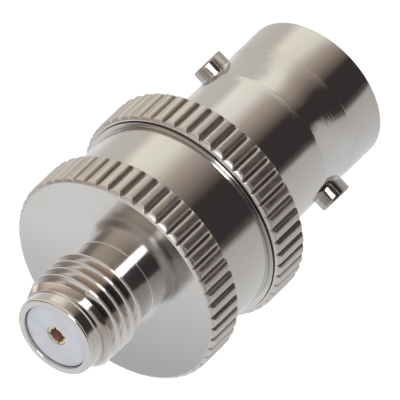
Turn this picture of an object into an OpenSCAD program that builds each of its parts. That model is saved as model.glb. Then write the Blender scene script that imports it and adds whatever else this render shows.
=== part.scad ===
// Coax adapter: a bayonet jack at one end and a threaded jack at the other.
// It stands on the mouth of the bayonet jack, with the threaded jack up.

/* [Bayonet jack] */
// Outside diameter of the bayonet barrel
barrel_d = 9.66; // [9.2:0.02:10.4]
// Bore of the barrel, which takes the plug's spring fingers
barrel_bore_d = 8.1; // [7.9:0.05:8.4]
// Depth of that bore from the mouth to the reference shoulder
barrel_bore_depth = 8.4; // [8:0.1:9]
// Length of the barrel from its mouth to the rear ring
barrel_len = 10.95; // [10.75:0.05:13]
// Chamfer on the outer and inner edges of the mouth
mouth_chamfer = 0.2; // [0.1:0.05:0.3]
// Fillet where the barrel runs into the rear ring
barrel_fillet = 0.35; // [0.2:0.05:0.6]
// Diameter of a bayonet lug
lug_d = 2.1; // [1.6:0.05:2.4]
// How far a lug stands out of the barrel
lug_height = 0.77; // [0.5:0.01:1.1]
// Distance from the mouth to the middle of the lugs
lug_from_mouth = 4.4; // [3.8:0.05:5]
// Chamfer on the outer end of a lug
lug_chamfer = 0.14; // [0.05:0.01:0.25]
// Width of the shallow waist turned round the barrel at the lugs
waist_width = 3.45; // [2.6:0.05:3.6]
// Depth of that waist
waist_depth = 0.1; // [0.02:0.01:0.14]

/* [Knurled rings] */
// Diameter over the crests of both rings
ring_d = 14.36; // [14.1:0.02:16]
// Width of each ring
ring_width = 2.55; // [2.1:0.05:3.2]
// Radial size of the bevel on a ring's front edge
ring_bevel = 0.32; // [0.2:0.02:0.5]
// Axial size of that bevel
ring_bevel_len = 0.3; // [0.2:0.02:0.5]
// Chamfer on a ring's back edge
ring_back_chamfer = 0.14; // [0.08:0.02:0.25]
// Number of grooves round each ring
knurl_count = 50; // [36:1:60]
// Depth of a groove
knurl_depth = 0.22; // [0.12:0.01:0.28]
// Width of a groove at the crest
knurl_width = 0.48; // [0.28:0.02:0.54]
// Width of a groove at its floor
knurl_floor = 0.04; // [0.02:0.01:0.12]
// Turn of the first groove from the X axis, in degrees
knurl_phase = 2.5; // [0:0.1:7.2]

/* [Middle barrel] */
// Diameter of the smooth barrel between the rings
mid_d = 13.05; // [12.6:0.05:13.2]
// Length of that barrel
mid_len = 3.84; // [3.7:0.02:7]
// Chamfer on the end of that barrel, where the two shells meet
seam_chamfer = 0.08; // [0.04:0.02:0.16]
// Diameter of the lip on the rear ring that the barrel stands on
seam_lip_d = 13.6; // [13.3:0.02:13.62]
// Height of that lip
seam_lip = 0.15; // [0.1:0.01:0.25]

/* [Threaded jack] */
// Major diameter of the coupling thread
thread_d = 6.35; // [6.2:0.05:7]
// Length of the thread, from the middle of its first groove
thread_len = 3.48; // [2.6:0.01:5]
// Pitch of the thread
thread_pitch = 0.7056; // [0.68:0.0001:0.75]
// Depth of the thread
thread_depth = 0.44; // [0.38:0.01:0.44]
// Width of the flat on a crest of the thread
thread_crest = 0.1; // [0.06:0.01:0.12]
// Slope of the thread's flanks, in degrees from square to the axis
thread_flank = 30; // [25:1:30]
// Diameter of the plain lead ahead of the thread
lead_d = 5.35; // [5.2:0.05:5.6]
// Length of that lead
lead_len = 0.87; // [0.5:0.01:1.2]
// Radius on the lead's rim
lead_round = 0.2; // [0.1:0.02:0.25]
// Length of the cone between the thread and the lead
lead_cone = 0.5; // [0.3:0.02:0.6]
// Length of the thread's run-out into the neck
thread_runout = 0.3; // [0.2:0.02:0.35]
// Diameter of the neck behind the thread
neck_d = 5.46; // [5.2:0.02:5.7]
// Length of the neck between the front ring and the thread
neck_len = 1.56; // [1.2:0.01:3]
// Fillet where the neck runs into the front ring
neck_fillet = 0.12; // [0.05:0.01:0.3]

/* [Inside] */
// Diameter of the front insulator's stem
stem_d = 4.36; // [4.1:0.02:4.5]
// How far the front insulator sits below the lead's rim
face_recess = 0.18; // [0.1:0.02:0.5]
// Diameter of both insulators where they meet in the core of the shells
core_d = 6.7; // [6.6:0.02:7]
// Depth of the front insulator's seat above the floor of the spigot's counterbore
front_seat_depth = 1; // [0.8:0.05:1.2]
// Thickness of the front insulator's flange
front_flange_len = 1.3; // [1.2:0.05:1.6]
// Diameter of the rear insulator's nose
nose_d = 4.7; // [4.4:0.05:4.9]
// How far the nose sits below the mouth
nose_recess = 3.2; // [2.8:0.1:4]
// Diameter of the rear insulator's waist inside the reference shoulder
throat_d = 5.16; // [4.95:0.02:5.4]
// Length of the reference shoulder's lip
lip_len = 1.6; // [1.2:0.1:1.7]
// Diameter of the spigot that joins the two shells
spigot_d = 10.54; // [9.8:0.02:11]
// Length of that spigot
spigot_len = 2.9; // [2.4:0.05:3]
// Free gap between the spigot's end and the floor of its counterbore
spigot_end_gap = 0.1; // [0.05:0.01:0.2]
// Radial clearance of a pressed fit
press_gap = 0.01; // [0.005:0.005:0.03]
// Radial clearance of an insulator or a contact in its bore
insulator_gap = 0.02; // [0.01:0.005:0.04]

/* [Contacts] */
// Outside diameter of the front socket
front_socket_d = 1.27; // [1.2:0.01:1.4]
// Bore of the front socket
front_socket_bore_d = 0.95; // [0.9:0.01:1]
// Depth of that bore
front_socket_depth = 3; // [2.4:0.1:3.6]
// Width of the slots in the front socket
front_slot = 0.14; // [0.1:0.01:0.17]
// Diameter of the front contact's collar
front_collar_d = 2.1; // [1.8:0.05:2.4]
// Length of the front contact's collar
front_collar_len = 0.9; // [0.7:0.05:1]
// Outside diameter of the rear socket
rear_socket_d = 2.1; // [2:0.02:2.3]
// Bore of the rear socket
rear_socket_bore_d = 1.36; // [1.3:0.01:1.45]
// Depth of that bore
rear_socket_depth = 5; // [4:0.1:5.6]
// Width of the slots in the rear socket
rear_slot = 0.2; // [0.15:0.01:0.24]
// Diameter of the rear contact's collar
rear_collar_d = 2.9; // [2.6:0.05:3.4]
// Length of the rear contact's collar
rear_collar_len = 1.1; // [0.8:0.05:1.4]
// Part of a socket's depth that its slots take up
slot_share = 0.8; // [0.6:0.05:0.9]
// How far a socket's rim sits below its insulator's face
socket_recess = 0.08; // [0.04:0.01:0.4]
// Diameter of the front contact's tail
tail_d = 0.9; // [0.7:0.05:1.1]
// Length of the tail inside the rear contact
tail_grip = 2.3; // [1.4:0.1:2.8]
// Free gap behind each contact's end
contact_gap = 0.08; // [0.04:0.01:0.15]

/* [Hidden] */
$fn = 96;
nickel = "#c9c5be";
gold = "#d9b45a";
white = "#eef0f2";
overcut = 1;
thread_overcut = 0.04;

// Stations along the axis, from the mouth of the bayonet jack up
rear_ring_back = barrel_len;
rear_ring_front = rear_ring_back + ring_width;
seam = rear_ring_front + seam_lip;
front_ring_back = seam + mid_len;
front_ring_front = front_ring_back + ring_width;
thread_start = front_ring_front + neck_len;
thread_end = thread_start + thread_len;
rim = thread_end + lead_len;

// Stations inside
lip_end = barrel_bore_depth + lip_len;
spigot_end = seam + spigot_len;
counterbore_floor = spigot_end + spigot_end_gap;
front_seat = counterbore_floor + front_seat_depth;
insulator_joint = front_seat - front_flange_len;
front_insulator_face = rim - face_recess;
front_socket_rim = front_insulator_face - socket_recess;
rear_socket_rim = nose_recess + socket_recess;
rear_contact_end = insulator_joint - contact_gap;
rear_collar_start = rear_contact_end - rear_collar_len;
front_collar_start = insulator_joint + contact_gap;
front_collar_end = front_collar_start + front_collar_len;
tail_hole_end = rear_contact_end - tail_grip - contact_gap;

// Radii that fitted pieces share
core_r = core_d / 2 + insulator_gap;
throat_r = throat_d / 2 + insulator_gap;
stem_bore_r = stem_d / 2 + insulator_gap;
spigot_r = spigot_d / 2;
front_pin_hole_r = front_socket_d / 2 + insulator_gap;
rear_pin_hole_r = rear_socket_d / 2 + insulator_gap;

// A solid turned from an outline of [radius, height] points
module turned(outline) {
    rotate_extrude() polygon(outline);
}

// A bored cylinder between two heights, for cutting
module bore(r, low, high) {
    translate([0, 0, low]) cylinder(r = r, h = high - low);
}

// Grooves of a straight knurl, cut along a ring's whole width
module knurl_grooves(back) {
    crest_r = ring_d / 2;
    floor_r = crest_r - knurl_depth;
    flare = (knurl_width - knurl_floor) / 2 / knurl_depth;
    top_half = knurl_floor / 2 + flare * (knurl_depth + overcut);
    for (i = [0 : knurl_count - 1])
        rotate([0, 0, knurl_phase + i * 360 / knurl_count])
            translate([0, 0, back - overcut])
                linear_extrude(ring_width + 2 * overcut)
                    polygon([[floor_r, -knurl_floor / 2], [crest_r + overcut, -top_half],
                        [crest_r + overcut, top_half], [floor_r, knurl_floor / 2]]);
}

// A ring's blank, bevelled at the front and chamfered at the back
module ring_blank(back) {
    front = back + ring_width;
    crest_r = ring_d / 2;
    turned([[0, back], [crest_r - ring_back_chamfer, back], [crest_r, back + ring_back_chamfer],
        [crest_r, front - ring_bevel_len], [crest_r - ring_bevel, front], [0, front]]);
}

module knurled_ring(back) {
    difference() {
        ring_blank(back);
        knurl_grooves(back);
    }
}

// A quarter-round fillet at an inside corner, below (side = -1) or above (side = 1) a face
module root_fillet(r, height, size, side) {
    rotate_extrude() difference() {
        translate([0, side > 0 ? height : height - size]) square([r + size, size]);
        translate([r + size, height + side * size]) circle(size);
    }
}

// The turned waist that the lugs stand in
module waist_cut() {
    sag = waist_depth;
    waist_r = (waist_width * waist_width / 4 + sag * sag) / (2 * sag);
    rotate_extrude()
        intersection() {
            translate([barrel_d / 2 + waist_r - sag, lug_from_mouth]) circle(waist_r, $fn = 360);
            translate([barrel_d / 2 - overcut, lug_from_mouth - waist_width / 2])
                square([2 * overcut, waist_width]);
        }
}

module lug_hole(turn) {
    rotate([0, 0, turn])
        translate([0, 0, lug_from_mouth])
            rotate([0, 90, 0])
                cylinder(d = lug_d + 2 * press_gap, h = barrel_d);
}

module bayonet_shell() {
    barrel_r = barrel_d / 2;
    bore_r = barrel_bore_d / 2;
    color(nickel) difference() {
        union() {
            turned([[0, 0], [barrel_r - mouth_chamfer, 0], [barrel_r, mouth_chamfer],
                [barrel_r, rear_ring_back + overcut], [0, rear_ring_back + overcut]]);
            root_fillet(barrel_r, rear_ring_back, barrel_fillet, -1);
            knurled_ring(rear_ring_back);
            bore(seam_lip_d / 2, rear_ring_back, seam);
            bore(spigot_r, rear_ring_back, spigot_end);
        }
        waist_cut();
        turned([[0, -overcut], [bore_r + mouth_chamfer + overcut, -overcut], [bore_r, mouth_chamfer],
            [bore_r, barrel_bore_depth], [0, barrel_bore_depth]]);
        bore(throat_r, 0, lip_end + overcut);
        bore(core_r, lip_end, spigot_end + overcut);
        lug_hole(0);
        lug_hole(180);
    }
}

module threaded_shell() {
    thread_r = thread_d / 2;
    lead_r = lead_d / 2;
    neck_r = neck_d / 2;
    mid_r = mid_d / 2;
    color(nickel) difference() {
        union() {
            turned([[0, seam], [mid_r - seam_chamfer, seam], [mid_r, seam + seam_chamfer],
                [mid_r, front_ring_back + overcut], [0, front_ring_back + overcut]]);
            knurled_ring(front_ring_back);
            root_fillet(neck_r, front_ring_front, neck_fillet, 1);
            turned([[0, front_ring_back], [neck_r, front_ring_back], [neck_r, thread_start],
                [thread_r, thread_start + thread_runout], [thread_r, thread_end - lead_cone],
                [lead_r, thread_end], [lead_r, rim - lead_round], [0, rim - lead_round]]);
            lead_rim(lead_r);
        }
        thread_grooves();
        bore(stem_bore_r, front_seat - overcut, rim + overcut);
        bore(core_r, counterbore_floor - overcut, front_seat);
        bore(spigot_r + press_gap, seam - overcut, counterbore_floor);
    }
}

// Grooves between the thread's crests, as rings at its pitch
module thread_grooves() {
    crest_r = thread_d / 2 + thread_overcut;
    root_r = thread_d / 2 - thread_depth;
    flare = tan(thread_flank);
    crest_half = (thread_pitch - thread_crest) / 2 + thread_overcut * flare;
    root_half = crest_half - (crest_r - root_r) * flare;
    for (k = [0 : floor(thread_len / thread_pitch)])
        translate([0, 0, thread_start + k * thread_pitch])
            turned([[root_r, -root_half], [crest_r, -crest_half], [crest_r, crest_half], [root_r, root_half]]);
}

// The rounded rim at the end of the lead
module lead_rim(lead_r) {
    inner_r = lead_r - lead_round;
    rotate_extrude() {
        translate([0, thread_end]) square([inner_r, rim - thread_end]);
        intersection() {
            translate([inner_r, rim - lead_round]) circle(lead_round);
            translate([inner_r, rim - lead_round]) square(lead_round);
        }
    }
}

// A lug pin pressed through the barrel's wall, its inner end flush with the bore
module lug(turn) {
    outer_end = barrel_d / 2 + lug_height;
    color(nickel) difference() {
        rotate([0, 0, turn])
            translate([0, 0, lug_from_mouth])
                rotate([0, 90, 0])
                    turned([[0, 0], [lug_d / 2, 0], [lug_d / 2, outer_end - lug_chamfer],
                        [lug_d / 2 - lug_chamfer, outer_end], [0, outer_end]]);
        bore(barrel_bore_d / 2, 0, barrel_len);
    }
}

module left_lug() {
    lug(180);
}

module right_lug() {
    lug(0);
}

module front_insulator() {
    stem_r = stem_d / 2;
    flange_r = core_d / 2;
    color(white) difference() {
        turned([[0, insulator_joint], [flange_r, insulator_joint], [flange_r, front_seat],
            [stem_r, front_seat], [stem_r, front_insulator_face], [0, front_insulator_face]]);
        bore(front_pin_hole_r, insulator_joint, front_insulator_face + overcut);
        bore(front_collar_d / 2 + insulator_gap, insulator_joint - overcut, front_collar_end);
    }
}

module rear_insulator() {
    nose_r = nose_d / 2;
    waist_r = throat_d / 2;
    flange_r = core_d / 2;
    color(white) difference() {
        turned([[0, nose_recess], [nose_r, nose_recess], [nose_r, barrel_bore_depth],
            [waist_r, barrel_bore_depth], [waist_r, lip_end], [flange_r, lip_end],
            [flange_r, insulator_joint], [0, insulator_joint]]);
        bore(rear_pin_hole_r, nose_recess - overcut, insulator_joint);
        bore(rear_collar_d / 2 + insulator_gap, rear_collar_start, insulator_joint + overcut);
    }
}

// Two crossed saw cuts that split a socket into four fingers
module socket_slots(width, low, high, reach) {
    for (turn = [45, 135])
        rotate([0, 0, turn])
            translate([-reach, -width / 2, low])
                cube([2 * reach, width, high - low]);
}

module front_contact() {
    socket_r = front_socket_d / 2;
    collar_r = front_collar_d / 2;
    tail_end = rear_contact_end - tail_grip;
    slot_floor = front_socket_rim - front_socket_depth * slot_share;
    color(gold) difference() {
        turned([[0, tail_end], [tail_d / 2, tail_end], [tail_d / 2, front_collar_start],
            [collar_r, front_collar_start], [collar_r, front_collar_end],
            [socket_r, front_collar_end], [socket_r, front_socket_rim], [0, front_socket_rim]]);
        bore(front_socket_bore_d / 2, front_socket_rim - front_socket_depth, front_socket_rim + overcut);
        socket_slots(front_slot, slot_floor, front_socket_rim + overcut, front_socket_d);
    }
}

module rear_contact() {
    socket_r = rear_socket_d / 2;
    collar_r = rear_collar_d / 2;
    slot_end = rear_socket_rim + rear_socket_depth * slot_share;
    color(gold) difference() {
        turned([[0, rear_socket_rim], [socket_r, rear_socket_rim], [socket_r, rear_collar_start],
            [collar_r, rear_collar_start], [collar_r, rear_contact_end], [0, rear_contact_end]]);
        bore(rear_socket_bore_d / 2, rear_socket_rim - overcut, rear_socket_rim + rear_socket_depth);
        bore(tail_d / 2 + press_gap, tail_hole_end, rear_contact_end + overcut);
        socket_slots(rear_slot, rear_socket_rim - overcut, slot_end, rear_socket_d);
    }
}

bayonet_shell();
threaded_shell();
left_lug();
right_lug();
front_insulator();
rear_insulator();
front_contact();
rear_contact();
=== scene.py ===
import math
import bpy
from mathutils import Matrix, Vector


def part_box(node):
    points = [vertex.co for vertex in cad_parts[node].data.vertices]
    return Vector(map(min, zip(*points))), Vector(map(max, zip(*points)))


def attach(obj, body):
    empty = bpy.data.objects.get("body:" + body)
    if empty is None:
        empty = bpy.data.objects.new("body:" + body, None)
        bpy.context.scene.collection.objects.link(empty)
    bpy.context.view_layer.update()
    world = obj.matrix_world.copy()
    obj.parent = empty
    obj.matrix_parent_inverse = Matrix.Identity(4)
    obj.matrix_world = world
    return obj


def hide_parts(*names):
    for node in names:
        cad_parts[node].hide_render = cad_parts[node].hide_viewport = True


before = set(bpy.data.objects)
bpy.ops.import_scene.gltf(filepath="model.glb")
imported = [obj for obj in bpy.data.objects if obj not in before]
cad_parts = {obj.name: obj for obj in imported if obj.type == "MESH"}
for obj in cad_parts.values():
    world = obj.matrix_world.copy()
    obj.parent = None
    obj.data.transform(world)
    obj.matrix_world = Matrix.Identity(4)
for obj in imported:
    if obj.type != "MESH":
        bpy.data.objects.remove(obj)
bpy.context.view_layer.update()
mm = 0.001
fullTurn = 2 * math.pi
print("stage: frame loaded")


def edge(node, axis, side=1):  # where a CAD node ends along an axis, in mm
    return round(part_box(node)[side]["xyz".index(axis)] / mm, 2)


class Val:  # a socket that takes part in arithmetic
    def __init__(self, net, socket):
        self.net = net
        self.socket = socket

    def math(self, operation, *others):
        return self.net.put("ShaderNodeMath", {"operation": operation}, dict(enumerate((self, *others))))

    def __add__(self, other):
        return self.math("ADD", other)

    def __sub__(self, other):
        return self.math("SUBTRACT", other)

    def __rsub__(self, other):
        return self.net.put("ShaderNodeMath", {"operation": "SUBTRACT"}, {0: other, 1: self})

    def __mul__(self, other):
        return self.math("MULTIPLY", other)

    def __truediv__(self, other):
        return self.math("DIVIDE", other)

    def __rtruediv__(self, other):
        return self.net.put("ShaderNodeMath", {"operation": "DIVIDE"}, {0: other, 1: self})

    __radd__ = __add__
    __rmul__ = __mul__

    def between(self, start, full):  # 0 at start, 1 at full, flat beyond; full may be the lower
        limits = {0: self, 1: start, 2: full, 3: 0.0, 4: 1.0}
        return self.net.put("ShaderNodeMapRange", {"clamp": True}, limits)

    def near(self, middle, full, end):  # 1 up to full away from the middle, 0 from end on
        return 1.0 - (self - middle).math("ABSOLUTE").between(full, end)

    def beside(self, name):  # another output of the same node
        return Val(self.net, self.socket.node.outputs[name])


class Net:  # a node tree that is written as expressions
    def __init__(self, tree):
        self.tree = tree
        tree.nodes.clear()

    def put(self, kind, settings=(), sockets=(), out=0):
        node = self.tree.nodes.new(kind)
        for key, value in dict(settings).items():
            if key == "stops":
                self.setStops(node.color_ramp, value)
            else:
                setattr(node, key, value)
        for key, value in dict(sockets).items():
            if isinstance(value, Val):
                self.tree.links.new(value.socket, node.inputs[key])
            else:
                node.inputs[key].default_value = value
        return Val(self, node.outputs[out]) if len(node.outputs) else node

    def setStops(self, ramp, stops):
        while len(ramp.elements) < len(stops):
            ramp.elements.new(1.0)
        for element, (place, colour) in zip(ramp.elements, stops):
            element.position = place
            element.color = (*colour, 1.0)

    def split(self, vector):
        first = self.put("ShaderNodeSeparateXYZ", (), {0: vector})
        return [Val(self, socket) for socket in first.socket.node.outputs]

    def join(self, x, y, z):
        return self.put("ShaderNodeCombineXYZ", (), {0: x, 1: y, 2: z})

    def mixColour(self, factor, first, second):  # a colour is a link, or red, green and blue
        ends = [colour if isinstance(colour, Val) else (*colour, 1.0) for colour in (first, second)]
        return self.put("ShaderNodeMix", {"data_type": "RGBA"}, {0: factor, 6: ends[0], 7: ends[1]}, 2)

    def noise(self, place, scale, detail):
        return self.put("ShaderNodeTexNoise", (), {"Vector": place, "Scale": scale, "Detail": detail})

    def bump(self, strength, depth, height, **under):
        sockets = {"Strength": strength, "Distance": depth, "Height": height, **under}
        return self.put("ShaderNodeBump", (), sockets)


weldDistance = 0.002 * mm
sharpAngle = 0.5  # radians between faces from which an edge is shaded sharp
sharpStep = 0.001
commonInputs = [("Material", "Material"), ("Sharp angle", "Float"), ("Turn", "Vector"), ("Shift", "Vector")]


def newGroup(name, inputs):
    tree = bpy.data.node_groups.new(name, "GeometryNodeTree")
    tree.is_modifier = True
    tree.interface.new_socket(name="Geometry", in_out="OUTPUT", socket_type="NodeSocketGeometry")
    tree.interface.new_socket(name="Profile", in_out="INPUT", socket_type="NodeSocketGeometry")
    for label, kind in inputs + commonInputs:
        tree.interface.new_socket(name=label, in_out="INPUT", socket_type="NodeSocket" + kind)
    net = Net(tree)
    source = net.put("NodeGroupInput").socket.node
    given = {socket.name: Val(net, socket) for socket in source.outputs if socket.name}
    return tree, net, given


def gridOf(net, given):  # a grid, each vertex's column, and the radius and height of its profile point
    across = given["Columns"]
    along = given["Rows"]
    sizes = {"Size X": 1.0, "Size Y": 1.0, "Vertices X": across + 1, "Vertices Y": along}
    grid = net.put("GeometryNodeMeshGrid", (), sizes)
    place = net.put("GeometryNodeInputPosition")
    x, y, z = net.split(place)
    column = ((x + 0.5) * across).math("ROUND")
    row = ((y + 0.5) * (along - 1)).math("ROUND")
    point = net.put("GeometryNodeSampleIndex", {"data_type": "FLOAT_VECTOR", "domain": "POINT"},
                    {"Geometry": given["Profile"], "Value": place, "Index": row})
    radius, unused, height = net.split(point)
    return grid, column, radius, height


def finishGroup(net, given, grid, radius, angle, height):
    place = net.join(radius * angle.math("COSINE"), radius * angle.math("SINE"), height)
    shaped = net.put("GeometryNodeSetPosition", (), {"Geometry": grid, "Position": place})
    welded = net.put("GeometryNodeMergeByDistance", (), {"Geometry": shaped, "Distance": weldDistance})
    smooth = net.put("GeometryNodeSetShadeSmooth", {"domain": "FACE"},
                     {"Geometry": welded, "Shade Smooth": True})
    sharp = given["Sharp angle"]
    steep = net.put("GeometryNodeInputMeshEdgeAngle").between(sharp, sharp + sharpStep)
    keen = net.put("GeometryNodeSetShadeSmooth", {"domain": "EDGE"},
                   {"Geometry": smooth, "Selection": steep, "Shade Smooth": False})
    moved = net.put("GeometryNodeTransform", (),
                    {"Geometry": keen, "Rotation": given["Turn"], "Translation": given["Shift"]})
    real = net.put("GeometryNodeRealizeInstances", (), {"Geometry": moved})
    painted = net.put("GeometryNodeSetMaterial", (), {"Geometry": real, "Material": given["Material"]})
    net.put("NodeGroupOutput", (), {"Geometry": painted})


# From the middle of a groove to the next, one column is half the floor, four are
# a flank and one is half a crest, and the same again on the other side.
toothColumns = 12
floorEdge = 1 / toothColumns
crestEdge = 5 / toothColumns
plainTeeth = 8
plainTurning = {"Columns": plainTeeth * toothColumns, "Teeth": float(plainTeeth), "First groove": 0.0,
                "Floor radius": 1.0, "Groove depth": 1.0, "Floor half": floorEdge,
                "Crest half": crestEdge}  # its grooves lie too far out to cut anything


def makeTurnedTree():  # a profile turned round Z, with straight grooves in what stands above their floor
    tree, net, given = newGroup("turnedPiece", [
        ("Columns", "Int"), ("Rows", "Int"), ("Teeth", "Float"), ("First groove", "Float"),
        ("Floor radius", "Float"), ("Groove depth", "Float"), ("Floor half", "Float"),
        ("Crest half", "Float")])
    grid, column, radius, height = gridOf(net, given)
    pitchNumber = column * given["Teeth"] / given["Columns"]
    nearest = pitchNumber.math("ROUND")
    offset = pitchNumber - nearest
    away = offset.math("ABSOLUTE")
    flank = given["Crest half"] - given["Floor half"]
    spread = (away.between(0.0, floorEdge) * given["Floor half"] + away.between(floorEdge, crestEdge) * flank
              + away.between(crestEdge, 0.5) * (0.5 - given["Crest half"]))
    fall = 1.0 - ((spread - given["Floor half"]) / flank).between(0.0, 1.0)
    limit = given["Floor radius"] + (1.0 - fall * fall) * given["Groove depth"]
    angle = (nearest + offset.math("SIGN") * spread) * fullTurn / given["Teeth"] + given["First groove"]
    finishGroup(net, given, grid, radius.math("MINIMUM", limit), angle, height)
    return tree


def makeThreadTree():  # a ridge profile carried up a helix, fading out at both ends, under a cone
    tree, net, given = newGroup("threadRidge", [
        ("Columns", "Int"), ("Rows", "Int"), ("Turns", "Float"), ("Pitch", "Float"),
        ("Root radius", "Float"), ("Start height", "Float"), ("Start angle", "Float"), ("Fade in", "Float"),
        ("Fade out", "Float"), ("Cone foot", "Float"), ("Cone end", "Float"), ("Cone slope", "Float")])
    grid, column, radius, height = gridOf(net, given)
    turns = column / given["Columns"] * given["Turns"]
    left = (given["Turns"] - turns) / given["Fade out"]
    size = (turns / given["Fade in"]).math("MINIMUM", 1.0).math("MINIMUM", left)
    angle = turns * fullTurn + given["Start angle"]
    up = given["Start height"] + turns * given["Pitch"] + height * size
    cone = given["Cone foot"] + (given["Cone end"] - up).math("MAXIMUM", 0.0) * given["Cone slope"]
    around = (given["Root radius"] + radius * size).math("MINIMUM", cone)
    finishGroup(net, given, grid, around, angle, up)
    return tree


turnedTree = makeTurnedTree()
threadTree = makeThreadTree()
guardReach = 1.6


# Corners are (radius, height) in mm, with a rounding and its steps where they aren't sharp.
# A rounded corner becomes an arc between two guard points, which keep the faces beside it flat.
def profileLoop(corners):
    loop = []
    for i, (radius, height, *rounding) in enumerate(corners):
        here = Vector((radius, height))
        if not rounding:
            loop.append(here)
            continue
        size, steps = rounding
        before = (Vector(corners[i - 1][:2]) - here).normalized() * size
        after = (Vector(corners[(i + 1) % len(corners)][:2]) - here).normalized() * size
        loop.append(here + before * guardReach)
        for k in range(steps + 1):
            share = k / steps
            loop.append(here + before * (1 - share) ** 2 + after * share ** 2)
        loop.append(here + after * guardReach)
    return loop + loop[:1]


def grown(tree, name, loop, values):  # runs a tree on a profile and keeps its plain mesh
    mesh = bpy.data.meshes.new(name)
    lines = [(i, i + 1) for i in range(len(loop) - 1)]
    mesh.from_pydata([(radius * mm, 0.0, height * mm) for radius, height in loop], lines, [])
    piece = bpy.data.objects.new(name, mesh)
    bpy.context.scene.collection.objects.link(piece)
    modifier = piece.modifiers.new(name, "NODES")
    modifier.node_group = tree
    sockets = {item.name: item.identifier for item in tree.interface.items_tree if item.in_out == "INPUT"}
    for label, value in {"Rows": len(loop), "Sharp angle": sharpAngle, **values}.items():
        modifier[sockets[label]] = value
    made = piece.evaluated_get(bpy.context.evaluated_depsgraph_get())
    piece.data = bpy.data.meshes.new_from_object(made)
    piece.modifiers.clear()
    piece.data.name = name
    return piece


def volumeOf(mesh):  # negative where the faces look inward
    mesh.calc_loop_triangles()
    total = 0.0
    for triangle in mesh.loop_triangles:
        first, second, third = [mesh.vertices[i].co for i in triangle.vertices]
        total += first.dot(second.cross(third))
    return total / 6


def outward(piece):
    if volumeOf(piece.data) < 0:
        piece.data.flip_normals()
    return piece


def turned(name, corners, material, values=()):
    loop = profileLoop(corners)
    return outward(grown(turnedTree, name, loop, {**plainTurning, "Material": material, **dict(values)}))


def joined(first, second):
    both = [first, second]
    with bpy.context.temp_override(active_object=first, object=first, selected_editable_objects=both):
        bpy.ops.object.join()
    return first


# The knurled rings, with lengths in mm and the first groove in degrees.
ringLook = {"crest": edge("bayonet_shell", "x"), "width": 2.55, "back": 0.14, "backRound": 0.03,
            "bevel": 0.32, "bevelLen": 0.3, "bevelRound": 0.04, "bow": 0.04, "bowSteps": 14,
            "frontRound": 0.03, "teeth": 50, "depth": 0.22, "floor": 0.04, "mouth": 0.62, "firstGroove": 2.5}


def ringCorners(back, backRadius, frontRadius):
    look = ringLook
    crest = look["crest"]
    front = back + look["width"]
    bevelStart = front - look["bevelLen"]
    corners = [(backRadius, back), (crest - look["back"], back, look["backRound"], 2),
               (crest, back + look["back"], look["backRound"], 2),
               (crest, bevelStart, look["bevelRound"], 2)]
    for k in range(2, look["bowSteps"] - 1):
        share = k / look["bowSteps"]
        bow = look["bow"] * 4 * share * (1 - share)
        corners.append((crest - look["bevel"] * share + bow, bevelStart + look["bevelLen"] * share + bow))
    return corners + [(crest - look["bevel"], front, look["frontRound"], 3), (frontRadius, front)]


def grooveValues():
    look = ringLook
    pitch = fullTurn * look["crest"] / look["teeth"]
    return {"Columns": look["teeth"] * toothColumns, "Teeth": float(look["teeth"]),
            "First groove": math.radians(look["firstGroove"]),
            "Floor radius": (look["crest"] - look["depth"]) * mm, "Groove depth": look["depth"] * mm,
            "Floor half": look["floor"] / 2 / pitch, "Crest half": look["mouth"] / 2 / pitch}


bayonetLook = {"barrel": 4.83, "bore": 4.05, "depth": 8.4, "length": 10.95, "mouthRound": 0.16,
               "boreRound": 0.112, "fillet": 0.35, "waist": 4.14, "waistWidth": 2.93, "waistDepth": 0.1,
               "waistSteps": 16, "waistEdge": 0.03, "waistLead": 0.02, "waistTail": 0.15,
               "seamLip": 6.8, "lipRound": 0.04, "seam": edge("threaded_shell", "z", 0),
               "relief": 0.04, "reliefFoot": 0.03, "reliefTop": 0.045,
               "lip": 2.6, "lipEnd": 10.0, "lipEdge": 0.05, "boreEdge": 0.06, "core": 3.37,
               "spigot": 5.27, "spigotEnd": edge("bayonet_shell", "z")}


def waistCorners():  # the shallow hollow round the barrel that the lugs stand in
    look = bayonetLook
    half = look["waistWidth"] / 2
    bend = (half ** 2 + look["waistDepth"] ** 2) / (2 * look["waistDepth"])
    steps = look["waistSteps"]
    offsets = [half * (2 * k / steps - 1) for k in range(1, steps)]
    corners = [(look["barrel"], look["waist"] - half - look["waistLead"])]
    for offset in [-half, look["waistEdge"] - half, *offsets, half - look["waistEdge"], half]:
        sag = look["waistDepth"] - bend + math.sqrt(bend ** 2 - offset ** 2)
        corners.append((look["barrel"] - sag, look["waist"] + offset))
    return corners + [(look["barrel"], look["waist"] + half + look["waistTail"])]


def makeBayonetShell():
    look = bayonetLook
    lip = look["seamLip"]
    front = look["length"] + ringLook["width"]
    foot = front - look["relief"]
    corners = [(look["bore"], 0.0, look["boreRound"], 3), (look["barrel"], 0.0, look["mouthRound"], 4)]
    corners += waistCorners() + [(look["barrel"], look["length"], look["fillet"], 5)]
    corners += ringCorners(look["length"], look["barrel"] + 2 * look["fillet"], lip + look["reliefTop"])
    corners += [(lip + look["reliefFoot"], foot), (lip, foot), (lip, look["seam"], look["lipRound"], 3),
                (look["spigot"], look["seam"]), (look["spigot"], look["spigotEnd"]),
                (look["core"], look["spigotEnd"]), (look["core"], look["lipEnd"]),
                (look["lip"], look["lipEnd"]), (look["lip"], look["depth"], look["lipEdge"], 2),
                (look["bore"], look["depth"], look["boreEdge"], 2)]
    return turned("bayonetShell", corners, nickel, grooveValues())


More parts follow.
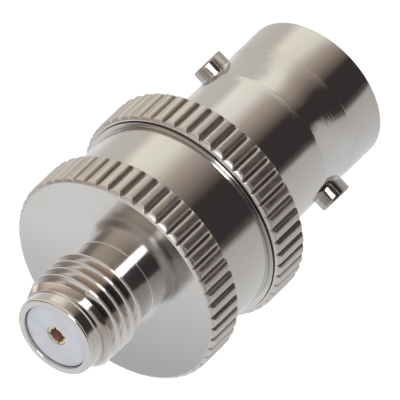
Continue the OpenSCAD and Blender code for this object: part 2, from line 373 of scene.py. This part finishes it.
threadedLook = {"start": edge("threaded_shell", "z", 0), "seamGap": 0.01, "mid": 6.525, "seamRound": 0.08,
                "ringBack": 17.49, "ringFoot": 0.05, "faceStep": 1.0, "neck": 2.73, "neckFillet": 0.06,
                "threadStart": 21.6, "threadEnd": 25.08, "runout": 0.05, "root": 2.74, "lead": 2.675,
                "rim": edge("threaded_shell", "z"), "rimRound": 0.2, "bore": 2.2, "boreRound": 0.05,
                "seat": 17.65, "core": 3.37, "floor": 16.65, "counterbore": 5.28}
ridgeLook = {"pitch": 0.7056, "turns": 5.4, "peak": 0.505, "crestRound": 0.16, "baseHalf": 0.29,
             "sink": 0.05, "flare": 0.03, "first": 21.54, "angle": 150.0, "fadeIn": 0.2, "fadeOut": 0.3,
             "perTurn": 96, "coneFoot": 2.66, "coneEnd": 25.1, "coneSlope": 0.7}


def makeThreadedShell():
    look = threadedLook
    start = look["start"] + look["seamGap"]
    front = look["ringBack"] + ringLook["width"]
    corners = [(look["counterbore"], start), (look["mid"], start, look["seamRound"], 3),
               (look["mid"], look["ringBack"])]
    corners += ringCorners(look["ringBack"], look["mid"] + look["ringFoot"], look["neck"] + look["faceStep"])
    corners += [(look["neck"], front, look["neckFillet"], 4),
                (look["neck"], look["threadStart"] - look["runout"]), (look["root"], look["threadStart"]),
                (look["root"], look["threadEnd"]), (look["lead"], look["threadEnd"] + look["runout"]),
                (look["lead"], look["rim"], look["rimRound"], 5),
                (look["bore"], look["rim"], look["boreRound"], 3), (look["bore"], look["seat"]),
                (look["core"], look["seat"]), (look["core"], look["floor"]),
                (look["counterbore"], look["floor"])]
    shell = turned("threadedShell", corners, nickel, grooveValues())
    return joined(shell, makeRidge())


def makeRidge():  # the thread, sunk a little into its root
    look = ridgeLook
    half = look["baseHalf"]
    corners = [(-look["sink"], -half - look["flare"]), (0.0, -half),
               (look["peak"], 0.0, look["crestRound"], 6), (0.0, half),
               (-look["sink"], half + look["flare"])]
    return outward(grown(threadTree, "threadRidge", profileLoop(corners), {
        "Columns": int(look["turns"] * look["perTurn"]), "Turns": look["turns"],
        "Pitch": look["pitch"] * mm, "Root radius": threadedLook["root"] * mm,
        "Start height": look["first"] * mm, "Start angle": math.radians(look["angle"]),
        "Fade in": look["fadeIn"], "Fade out": look["fadeOut"], "Cone foot": look["coneFoot"] * mm,
        "Cone end": look["coneEnd"] * mm, "Cone slope": look["coneSlope"], "Material": nickel}))


lugLook = {"radius": edge("right_lug", "y"), "inner": 4.06, "outer": edge("right_lug", "x"), "round": 0.14}
lugLook["height"] = edge("right_lug", "z") - lugLook["radius"]


def makeLug(name, turn):  # a pin along Z, then laid along X
    look = lugLook
    corners = [(0.0, look["inner"]), (look["radius"], look["inner"]),
               (look["radius"], look["outer"], look["round"], 4), (0.0, look["outer"])]
    placing = {"Turn": (0.0, turn, 0.0), "Shift": (0.0, 0.0, look["height"] * mm)}
    return turned(name, corners, nickel, placing)


frontInsulatorLook = {"joint": edge("front_insulator", "z", 0), "face": edge("front_insulator", "z"),
                      "flange": edge("front_insulator", "x"), "seat": 17.65, "stem": 2.18, "faceRound": 0.1,
                      "hole": 0.655, "holeRound": 0.05, "collar": 1.07, "collarEnd": 17.33}


def makeFrontInsulator():
    look = frontInsulatorLook
    corners = [(look["collar"], look["joint"]), (look["flange"], look["joint"]),
               (look["flange"], look["seat"]), (look["stem"], look["seat"]),
               (look["stem"], look["face"], look["faceRound"], 4),
               (look["hole"], look["face"], look["holeRound"], 3), (look["hole"], look["collarEnd"]),
               (look["collar"], look["collarEnd"])]
    return turned("frontInsulator", corners, insulator)


rearInsulatorLook = {"joint": edge("rear_insulator", "z"), "tip": edge("rear_insulator", "z", 0),
                     "flange": edge("rear_insulator", "x"), "lip": 10.0, "throat": 2.58, "shoulder": 8.4,
                     "nose": 2.35, "noseRound": 0.15, "hole": 1.07, "holeRound": 0.06, "collar": 1.47,
                     "collarStart": 15.17}


def makeRearInsulator():
    look = rearInsulatorLook
    corners = [(look["hole"], look["tip"], look["holeRound"], 3),
               (look["nose"], look["tip"], look["noseRound"], 4), (look["nose"], look["shoulder"]),
               (look["throat"], look["shoulder"]), (look["throat"], look["lip"]),
               (look["flange"], look["lip"]), (look["flange"], look["joint"]),
               (look["collar"], look["joint"]), (look["collar"], look["collarStart"]),
               (look["hole"], look["collarStart"])]
    return turned("rearInsulator", corners, insulator)


def newMaterial(name):
    material = bpy.data.materials.new(name)
    material.use_nodes = True
    return material, Net(material.node_tree)


def endMaterial(net, sockets):
    shader = net.put("ShaderNodeBsdfPrincipled", (), sockets)
    net.put("ShaderNodeOutputMaterial", (), {"Surface": shader})


def objectPlace(net):  # the place on a piece, and its x, y, z and radius in mm
    place = net.put("ShaderNodeTexCoord", (), (), "Object")
    x, y, z = [axis / mm for axis in net.split(place)]
    return place, x, y, z, (x * x + y * y).math("SQRT")


# Noise has a scale per metre and a detail, or a scale per mm across and along the axis.
nickelLook = {"plate": (0.69, 0.685, 0.68), "warm": (0.66, 0.64, 0.61), "clouds": (180.0, 4.0),
              "warmClouds": (0.35, 0.75), "roughness": 0.08, "haze": 0.05, "hazeClouds": (0.4, 0.7),
              "specks": (2600.0, 3.0), "speckRange": (0.55, 0.8), "speckRough": 0.05, "speckBump": 0.5,
              "turning": 0.35, "turningAcross": 1.1, "turningAlong": 8.0, "turningDetail": 2.0,
              "markDepth": 0.01}

# Zones of the plating and of painted shade, in mm. Two numbers run from where a zone starts to where it is
# full; three are its middle, how far from there it is full, and how far it reaches.
ringBacks = (bayonetLook["length"], threadedLook["ringBack"])
bevelInner = ringLook["crest"] - ringLook["bevel"]
bevelRise = ringLook["width"] - ringLook["bevelLen"]
grooveFloor = ringLook["crest"] - ringLook["depth"]
# The knurl's tint is painted shade, a darker, warmer copy of the nickel; its roughness and drawn streaks are
# its finish.
knurlFinishAndShadeZone = {"radius": (bevelInner + 0.01, bevelInner + 0.08), "tint": (0.63, 0.595, 0.57),
             "rough": 0.32, "evenRough": 0.4, "drawnRough": (0.3, 0.7), "streak": 0.4,
             "drawnAcross": 14.0, "drawnAlong": 0.9, "drawnDetail": 3.0}
# The groove floors' tint is painted shade, together with the tarnish they hold.
grooveTarnishAndShadeZone = {"foot": (0.05, 0.12), "top": (bevelRise + 0.05, bevelRise - 0.05),
              "radius": (grooveFloor + ringLook["depth"] / 2, grooveFloor), "tint": (0.30, 0.265, 0.245)}
# The face's tint is painted shade, darker towards one side of the ring's front face; its roughness is its
# finish.
faceShadeZone = {"height": (threadedLook["ringBack"] + ringLook["width"], 0.01, 0.03), "radius": (2.85, 3.15),
            "slope": (-4.2, 8.5), "tint": (0.44, 0.435, 0.455), "rough": 0.03}
lipZone = {"height": (bayonetLook["seam"], 0.005, 0.03), "radius": (6.5, 6.56), "rough": 0.08}
# The crevice's tint is painted shade in the gap by the seam lip.
creviceShadeZone = {"radius": (bayonetLook["seamLip"], 0.01, 0.035), "foot": (13.3, 13.35), "top": (13.64, 13.62),
               "tint": (0.10, 0.085, 0.08), "rough": 0.08}
# The root's tint is painted shade, darker and warmer down the thread's flanks to its root.
rootShadeZone = {"radius": (3.06, 2.8), "foot": (21.5, 21.7), "top": (25.1, 24.9), "tint": (0.53, 0.48, 0.44)}
# The lugs' tint is painted shade, a darker copy of the nickel.
lugShadeZone = {"radius": (bayonetLook["barrel"] + 0.02, bayonetLook["barrel"] + 0.05), "top": (6.2, 6.0),
           "tint": (0.47, 0.44, 0.42)}


def grooveTarnishAndShadeMask(radius, z):  # the grooves' floors, short of the bevel, painted dark: painted shade and the tarnish they hold
    span = 0.0
    for back in ringBacks:
        above = z - back
        span = above.between(*grooveTarnishAndShadeZone["foot"]) * above.between(*grooveTarnishAndShadeZone["top"]) + span
    return span * radius.between(*grooveTarnishAndShadeZone["radius"])


def makeNickel():
    look = nickelLook
    material, net = newMaterial("nickel")
    place, x, y, z, radius = objectPlace(net)
    cloud = net.noise(place, *look["clouds"])
    specks = net.noise(place, *look["specks"])
    across = look["turningAcross"]
    rings = net.join(x * across, y * across, (z + radius) * look["turningAlong"])
    lathe = net.noise(rings, 1.0, look["turningDetail"])
    across = knurlFinishAndShadeZone["drawnAcross"]
    lines = net.join(x * across, y * across, z * knurlFinishAndShadeZone["drawnAlong"])
    drawn = net.noise(lines, 1.0, knurlFinishAndShadeZone["drawnDetail"])
    knurl = radius.between(*knurlFinishAndShadeZone["radius"])
    groove = knurl * grooveTarnishAndShadeMask(radius, z)
    face = z.near(*faceShadeZone["height"]) * radius.between(*faceShadeZone["radius"])
    lip = z.near(*lipZone["height"]) * radius.between(*lipZone["radius"])
    creviceShade = radius.near(*creviceShadeZone["radius"])
    creviceShade = creviceShade * z.between(*creviceShadeZone["foot"]) * z.between(*creviceShadeZone["top"])
    root = radius.between(*rootShadeZone["radius"]) * z.between(*rootShadeZone["foot"]) * z.between(*rootShadeZone["top"])
    lugShade = radius.between(*lugShadeZone["radius"]) * z.between(*lugShadeZone["top"])
    tint = net.mixColour(cloud.between(*look["warmClouds"]), look["plate"], look["warm"])
    # painted shade: the knurl's nickel darker and warmer
    tint = net.mixColour(knurl, tint, knurlFinishAndShadeZone["tint"])
    # painted shade and tarnish in the groove floors
    tint = net.mixColour(groove, tint, grooveTarnishAndShadeZone["tint"])
    # painted shade: the ring's front face darker towards one side
    tint = net.mixColour(face * (y - x).between(*faceShadeZone["slope"]), tint, faceShadeZone["tint"])
    # painted shade in the crevice by the seam lip
    tint = net.mixColour(creviceShade, tint, creviceShadeZone["tint"])
    # painted shade: thread flanks and roots darker and warmer
    tint = net.mixColour(root, tint, rootShadeZone["tint"])
    # painted shade: the lugs' nickel darker and browner
    tint = net.mixColour(lugShade, tint, lugShadeZone["tint"])
    even = knurlFinishAndShadeZone["evenRough"]
    knurlRough = knurlFinishAndShadeZone["rough"] * (even + (1.0 - even) * drawn.between(*knurlFinishAndShadeZone["drawnRough"]))
    rough = look["roughness"] + look["haze"] * cloud.between(*look["hazeClouds"]) + knurl * knurlRough
    rough = rough + look["speckRough"] * specks.between(*look["speckRange"])
    rough = rough + face * faceShadeZone["rough"] + lip * lipZone["rough"] + creviceShade * creviceShadeZone["rough"]
    depth = look["markDepth"] * mm
    bump = net.bump(look["turning"], depth, lathe + look["speckBump"] * specks)
    streak = net.bump(knurl * knurlFinishAndShadeZone["streak"], depth, drawn, Normal=bump)
    endMaterial(net, {"Base Color": tint, "Roughness": rough, "Metallic": 1.0, "Normal": streak})
    return material


insulatorLook = {"face": (0.55, 0.56, 0.615), "mottle": (0.61, 0.62, 0.67), "clouds": (700.0, 5.0),
                 "mottleClouds": (0.4, 0.65), "grain": (5200.0, 2.0), "roughness": 0.42, "grainRough": 0.1,
                 "bump": 0.12, "markDepth": 0.02}


def makeInsulator():
    look = insulatorLook
    material, net = newMaterial("insulator")
    place = net.put("ShaderNodeTexCoord", (), (), "Object")
    cloud = net.noise(place, *look["clouds"])
    fine = net.noise(place, *look["grain"])
    tint = net.mixColour(cloud.between(*look["mottleClouds"]), look["face"], look["mottle"])
    rough = look["roughness"] + look["grainRough"] * fine
    bump = net.bump(look["bump"], look["markDepth"] * mm, fine)
    endMaterial(net, {"Base Color": tint, "Roughness": rough, "Normal": bump})
    return material


goldLook = {"plate": (0.87, 0.73, 0.46), "worn": (0.75, 0.59, 0.33), "clouds": (1500.0, 4.0),
            "wornClouds": (0.4, 0.7), "roughness": 0.24, "cloudRough": 0.14, "bore": (0.80, 0.58, 0.54),
            "boreRadius": (0.5, 0.48), "boreRough": 0.3, "bump": 0.08, "markDepth": 0.01}


def makeGold():
    look = goldLook
    material, net = newMaterial("gold")
    place, x, y, z, radius = objectPlace(net)
    cloud = net.noise(place, *look["clouds"])
    bore = radius.between(*look["boreRadius"])
    tint = net.mixColour(cloud.between(*look["wornClouds"]), look["plate"], look["worn"])
    tint = net.mixColour(bore, tint, look["bore"])
    rough = look["roughness"] + look["cloudRough"] * cloud + bore * look["boreRough"]
    bump = net.bump(look["bump"], look["markDepth"] * mm, cloud)
    endMaterial(net, {"Base Color": tint, "Roughness": rough, "Metallic": 1.0, "Normal": bump})
    return material


nickel = makeNickel()
insulator = makeInsulator()
gold = makeGold()
print("stage: materials made")

quarterTurn = math.pi / 2
pieces = [(makeBayonetShell(), "bayonet_shell", "nickel"), (makeThreadedShell(), "threaded_shell", "nickel"),
          (makeLug("leftLug", -quarterTurn), "left_lug", "nickel"),
          (makeLug("rightLug", quarterTurn), "right_lug", "nickel"),
          (makeFrontInsulator(), "front_insulator", "insulator"),
          (makeRearInsulator(), "rear_insulator", "insulator")]
for piece, node, slotName in pieces:
    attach(piece, "root")
    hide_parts(node)
for node in ("front_contact", "rear_contact"):
    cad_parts[node].data.materials.clear()
    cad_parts[node].data.materials.append(gold)
print("stage: pieces made", {piece.name: len(piece.data.polygons) for piece, node, slotName in pieces})

# What stands round the studio, as (bearing in degrees, colour): first as the board above
# the floor shows it, then as the sky does. Only mirrored rays see either.
boardStops = [(-180, (0.76, 0.76, 0.76)), (-115, (0.70, 0.70, 0.70)), (-98, (0.64, 0.63, 0.62)),
              (-74, (0.585, 0.55, 0.525)), (-60, (0.52, 0.50, 0.48)), (-54, (0.13, 0.11, 0.105)),
              (-47, (0.048, 0.038, 0.04)), (-2, (0.05, 0.04, 0.04)), (4, (0.13, 0.10, 0.085)),
              (36, (0.51, 0.43, 0.375)), (56, (0.95, 0.91, 0.82)), (80, (1.06, 1.01, 0.91)),
              (92, (0.68, 0.64, 0.58)), (122, (0.68, 0.65, 0.61)), (136, (0.84, 0.83, 0.82)),
              (180, (0.84, 0.84, 0.84))]
skyStops = [(-180, (0.84, 0.84, 0.84)), (-125, (0.80, 0.80, 0.80)), (-95, (0.60, 0.58, 0.56)),
            (-60, (0.42, 0.39, 0.37)), (-54, (0.05, 0.04, 0.04)), (-4, (0.05, 0.04, 0.045)),
            (6, (0.15, 0.12, 0.11)), (40, (0.46, 0.385, 0.325)), (70, (0.63, 0.54, 0.46)),
            (94, (0.60, 0.52, 0.44)), (110, (0.32, 0.27, 0.24)), (130, (0.3, 0.27, 0.25)),
            (148, (0.8, 0.8, 0.82)), (180, (0.84, 0.84, 0.84))]


def bearingOf(x, y):  # degrees from the camera's side, towards +X
    return x.math("ARCTAN2", -1.0 * y) * (360.0 / fullTurn)


def surround(net, bearing, stops):
    places = [((angle + 180) / 360, colour) for angle, colour in stops]
    return net.put("ShaderNodeValToRGB", {"stops": places}, {0: bearing / 360.0 + 0.5})


def flatPiece(name, half, height, material):
    mesh = bpy.data.meshes.new(name)
    corners = [(-half, -half, height), (half, -half, height), (half, half, height), (-half, half, height)]
    mesh.from_pydata(corners, [], [(0, 1, 2, 3)])
    mesh.materials.append(material)
    sheet = bpy.data.objects.new(name, mesh)
    bpy.context.scene.collection.objects.link(sheet)
    return sheet


white = (1.0, 1.0, 1.0)
floorLook = {"paint": (0.93, 0.93, 0.93), "lift": 0.45, "half": 0.9}  # half in metres


def makeFloor():  # lifted a little where it is seen, so that it comes out nearly white
    look = floorLook
    material, net = newMaterial("floor")
    camera = net.put("ShaderNodeLightPath")
    seen = camera.math("MAXIMUM", camera.beside("Is Glossy Ray"))
    seen = seen.math("MAXIMUM", camera.beside("Is Transmission Ray"))
    paint = net.put("ShaderNodeBsdfDiffuse", (), {"Color": (*look["paint"], 1.0)})
    lift = net.put("ShaderNodeEmission", (), {"Color": (*white, 1.0), "Strength": seen * look["lift"]})
    both = net.put("ShaderNodeAddShader", (), {0: paint, 1: lift})
    net.put("ShaderNodeOutputMaterial", (), {"Surface": both})
    flatPiece("floor", look["half"], 0.0, material)


# The board's bands by reach from the axis, in mm. Each turns the bearing by some degrees, and by
# more where the bearing runs from the first to the second of a pair.
boardLook = {"half": 0.12, "lift": 0.00004, "hub": 3.1}  # half and lift in metres, hub in mm
boardBands = [{"grows": (8.9, 9.6), "fades": (9.7, 10.5), "turn": -18.0,
               "more": [(25.0, (-40.0, -5.0)), (13.0, (40.0, 60.0))]},
              {"grows": (10.0, 10.5), "fades": (11.6, 12.2), "turn": 0.0,
               "more": [(-12.0, (60.0, 80.0))]},
              {"grows": (11.5, 12.2), "fades": (12.45, 12.75), "turn": 4.0,
               "more": [(16.0, (-40.0, -5.0)), (-20.0, (30.0, 55.0))]}]
threadBand = {"grows": (43.0, 47.0), "bearing": (4.0, 20.0), "turn": 14.0, "tone": (0.65, 0.54, 0.44),
              "share": 0.8}


def makeBoard():  # the studio's surroundings as polished metal sees them in the floor
    look = boardLook
    material, net = newMaterial("board")
    place, x, y, z, reach = objectPlace(net)
    bearing = bearingOf(x, y + look["hub"])
    shift = 0.0
    for band in boardBands:
        turn = band["turn"]
        for amount, limits in band["more"]:
            turn = turn + amount * bearing.between(*limits)
        shift = shift + (reach.between(*band["grows"]) - reach.between(*band["fades"])) * turn
    far = reach.between(*threadBand["grows"])
    bearing = bearing + shift + far * threadBand["turn"] * bearing.between(*threadBand["bearing"])
    share = far * threadBand["share"] * bearing.between(*threadBand["bearing"])
    tone = net.mixColour(share, surround(net, bearing, boardStops), threadBand["tone"])
    glow = net.put("ShaderNodeEmission", (), {"Color": tone, "Strength": 1.0})
    net.put("ShaderNodeOutputMaterial", (), {"Surface": glow})
    board = flatPiece("board", look["half"], look["lift"], material)
    board.visible_camera = False
    board.visible_diffuse = False
    board.visible_shadow = False
    board.visible_transmission = False


# Heights are the upward part of a ray's direction, and bearings are in degrees.
skyLook = {"light": (0.78, 0.78, 0.78), "glow": (0.90, 0.79, 0.67), "glowTop": (0.5, 0.3),
           "glowStart": (8.0, 26.0), "glowEnd": (135.0, 105.0), "above": (0.85, 0.85, 0.85),
           "aboveStart": (0.75, 0.95)}


def makeWorld():  # white to the camera, an even light to the floor, and the studio to the metal
    look = skyLook
    world = bpy.data.worlds.new("studio")
    bpy.context.scene.world = world
    world.use_nodes = True
    net = Net(world.node_tree)
    camera = net.put("ShaderNodeLightPath")
    x, y, z = net.split(net.put("ShaderNodeTexCoord", (), (), "Generated"))
    bearing = bearingOf(x, y)
    glow = z.between(*look["glowTop"]) * bearing.between(*look["glowStart"])
    glow = glow * bearing.between(*look["glowEnd"])
    sides = net.mixColour(glow, surround(net, bearing, skyStops), look["glow"])
    mirrored = net.mixColour(z.between(*look["aboveStart"]), sides, look["above"])
    plain = net.mixColour(camera, look["light"], white)
    colour = net.mixColour(camera.beside("Is Glossy Ray"), plain, mirrored)
    shade = net.put("ShaderNodeBackground", (), {"Color": colour, "Strength": 1.0})
    net.put("ShaderNodeOutputWorld", (), {"Surface": shade})


# Angles in degrees, lengths in metres.
keyLook = {"strength": 4.0, "bearing": 6.0, "rise": 46.0, "wide": 0.12, "tall": 0.30, "far": 0.42,
           "aim": 0.013}


def makeKey():  # the lamp beside the camera
    look = keyLook
    bearing = math.radians(look["bearing"])
    rise = math.radians(look["rise"])
    way = Vector((math.sin(bearing) * math.cos(rise), -math.cos(bearing) * math.cos(rise), math.sin(rise)))
    lamp = bpy.data.lights.new("key", "AREA")
    lamp.shape = "RECTANGLE"
    lamp.size = look["wide"]
    lamp.size_y = look["tall"]
    lamp.energy = look["strength"] * math.pi * look["wide"] * look["tall"]
    holder = bpy.data.objects.new("key", lamp)
    place = Vector((0.0, 0.0, look["aim"])) + way * look["far"]
    holder.matrix_world = Matrix.Translation(place) @ way.to_track_quat("Z", "Y").to_matrix().to_4x4()
    bpy.context.scene.collection.objects.link(holder)


makeFloor()
makeBoard()
makeWorld()
makeKey()
print("stage: studio made")

# Angles in degrees, lengths in mm apart from the clip distances, which are in metres.
cameraLook = {"elevation": 35.3203, "roll": -133.6168, "aim": (-0.0408, 0.0, 11.6272), "distance": 777.8996,
              "lens": 1188.99, "sensor": 36.0, "clipStart": 0.02, "clipEnd": 20.0}


def makeCamera():
    look = cameraLook
    elevation = math.radians(look["elevation"])
    roll = math.radians(look["roll"])
    back = Vector((0.0, -math.cos(elevation), math.sin(elevation)))
    level = Vector((1.0, 0.0, 0.0))
    above = back.cross(level)
    right = level * math.cos(roll) + above * math.sin(roll)
    turn = Matrix((right, back.cross(right), back)).transposed()
    view = bpy.data.cameras.new("camera")
    view.sensor_fit = "HORIZONTAL"
    view.sensor_width = look["sensor"]
    view.lens = look["lens"]
    view.clip_start = look["clipStart"]
    view.clip_end = look["clipEnd"]
    holder = bpy.data.objects.new("camera", view)
    place = (Vector(look["aim"]) + back * look["distance"]) * mm
    holder.matrix_world = Matrix.Translation(place) @ turn.to_4x4()
    bpy.context.scene.collection.objects.link(holder)
    bpy.context.scene.camera = holder


makeCamera()
bpy.context.scene.view_settings.view_transform = "Standard"
print("stage: camera made")
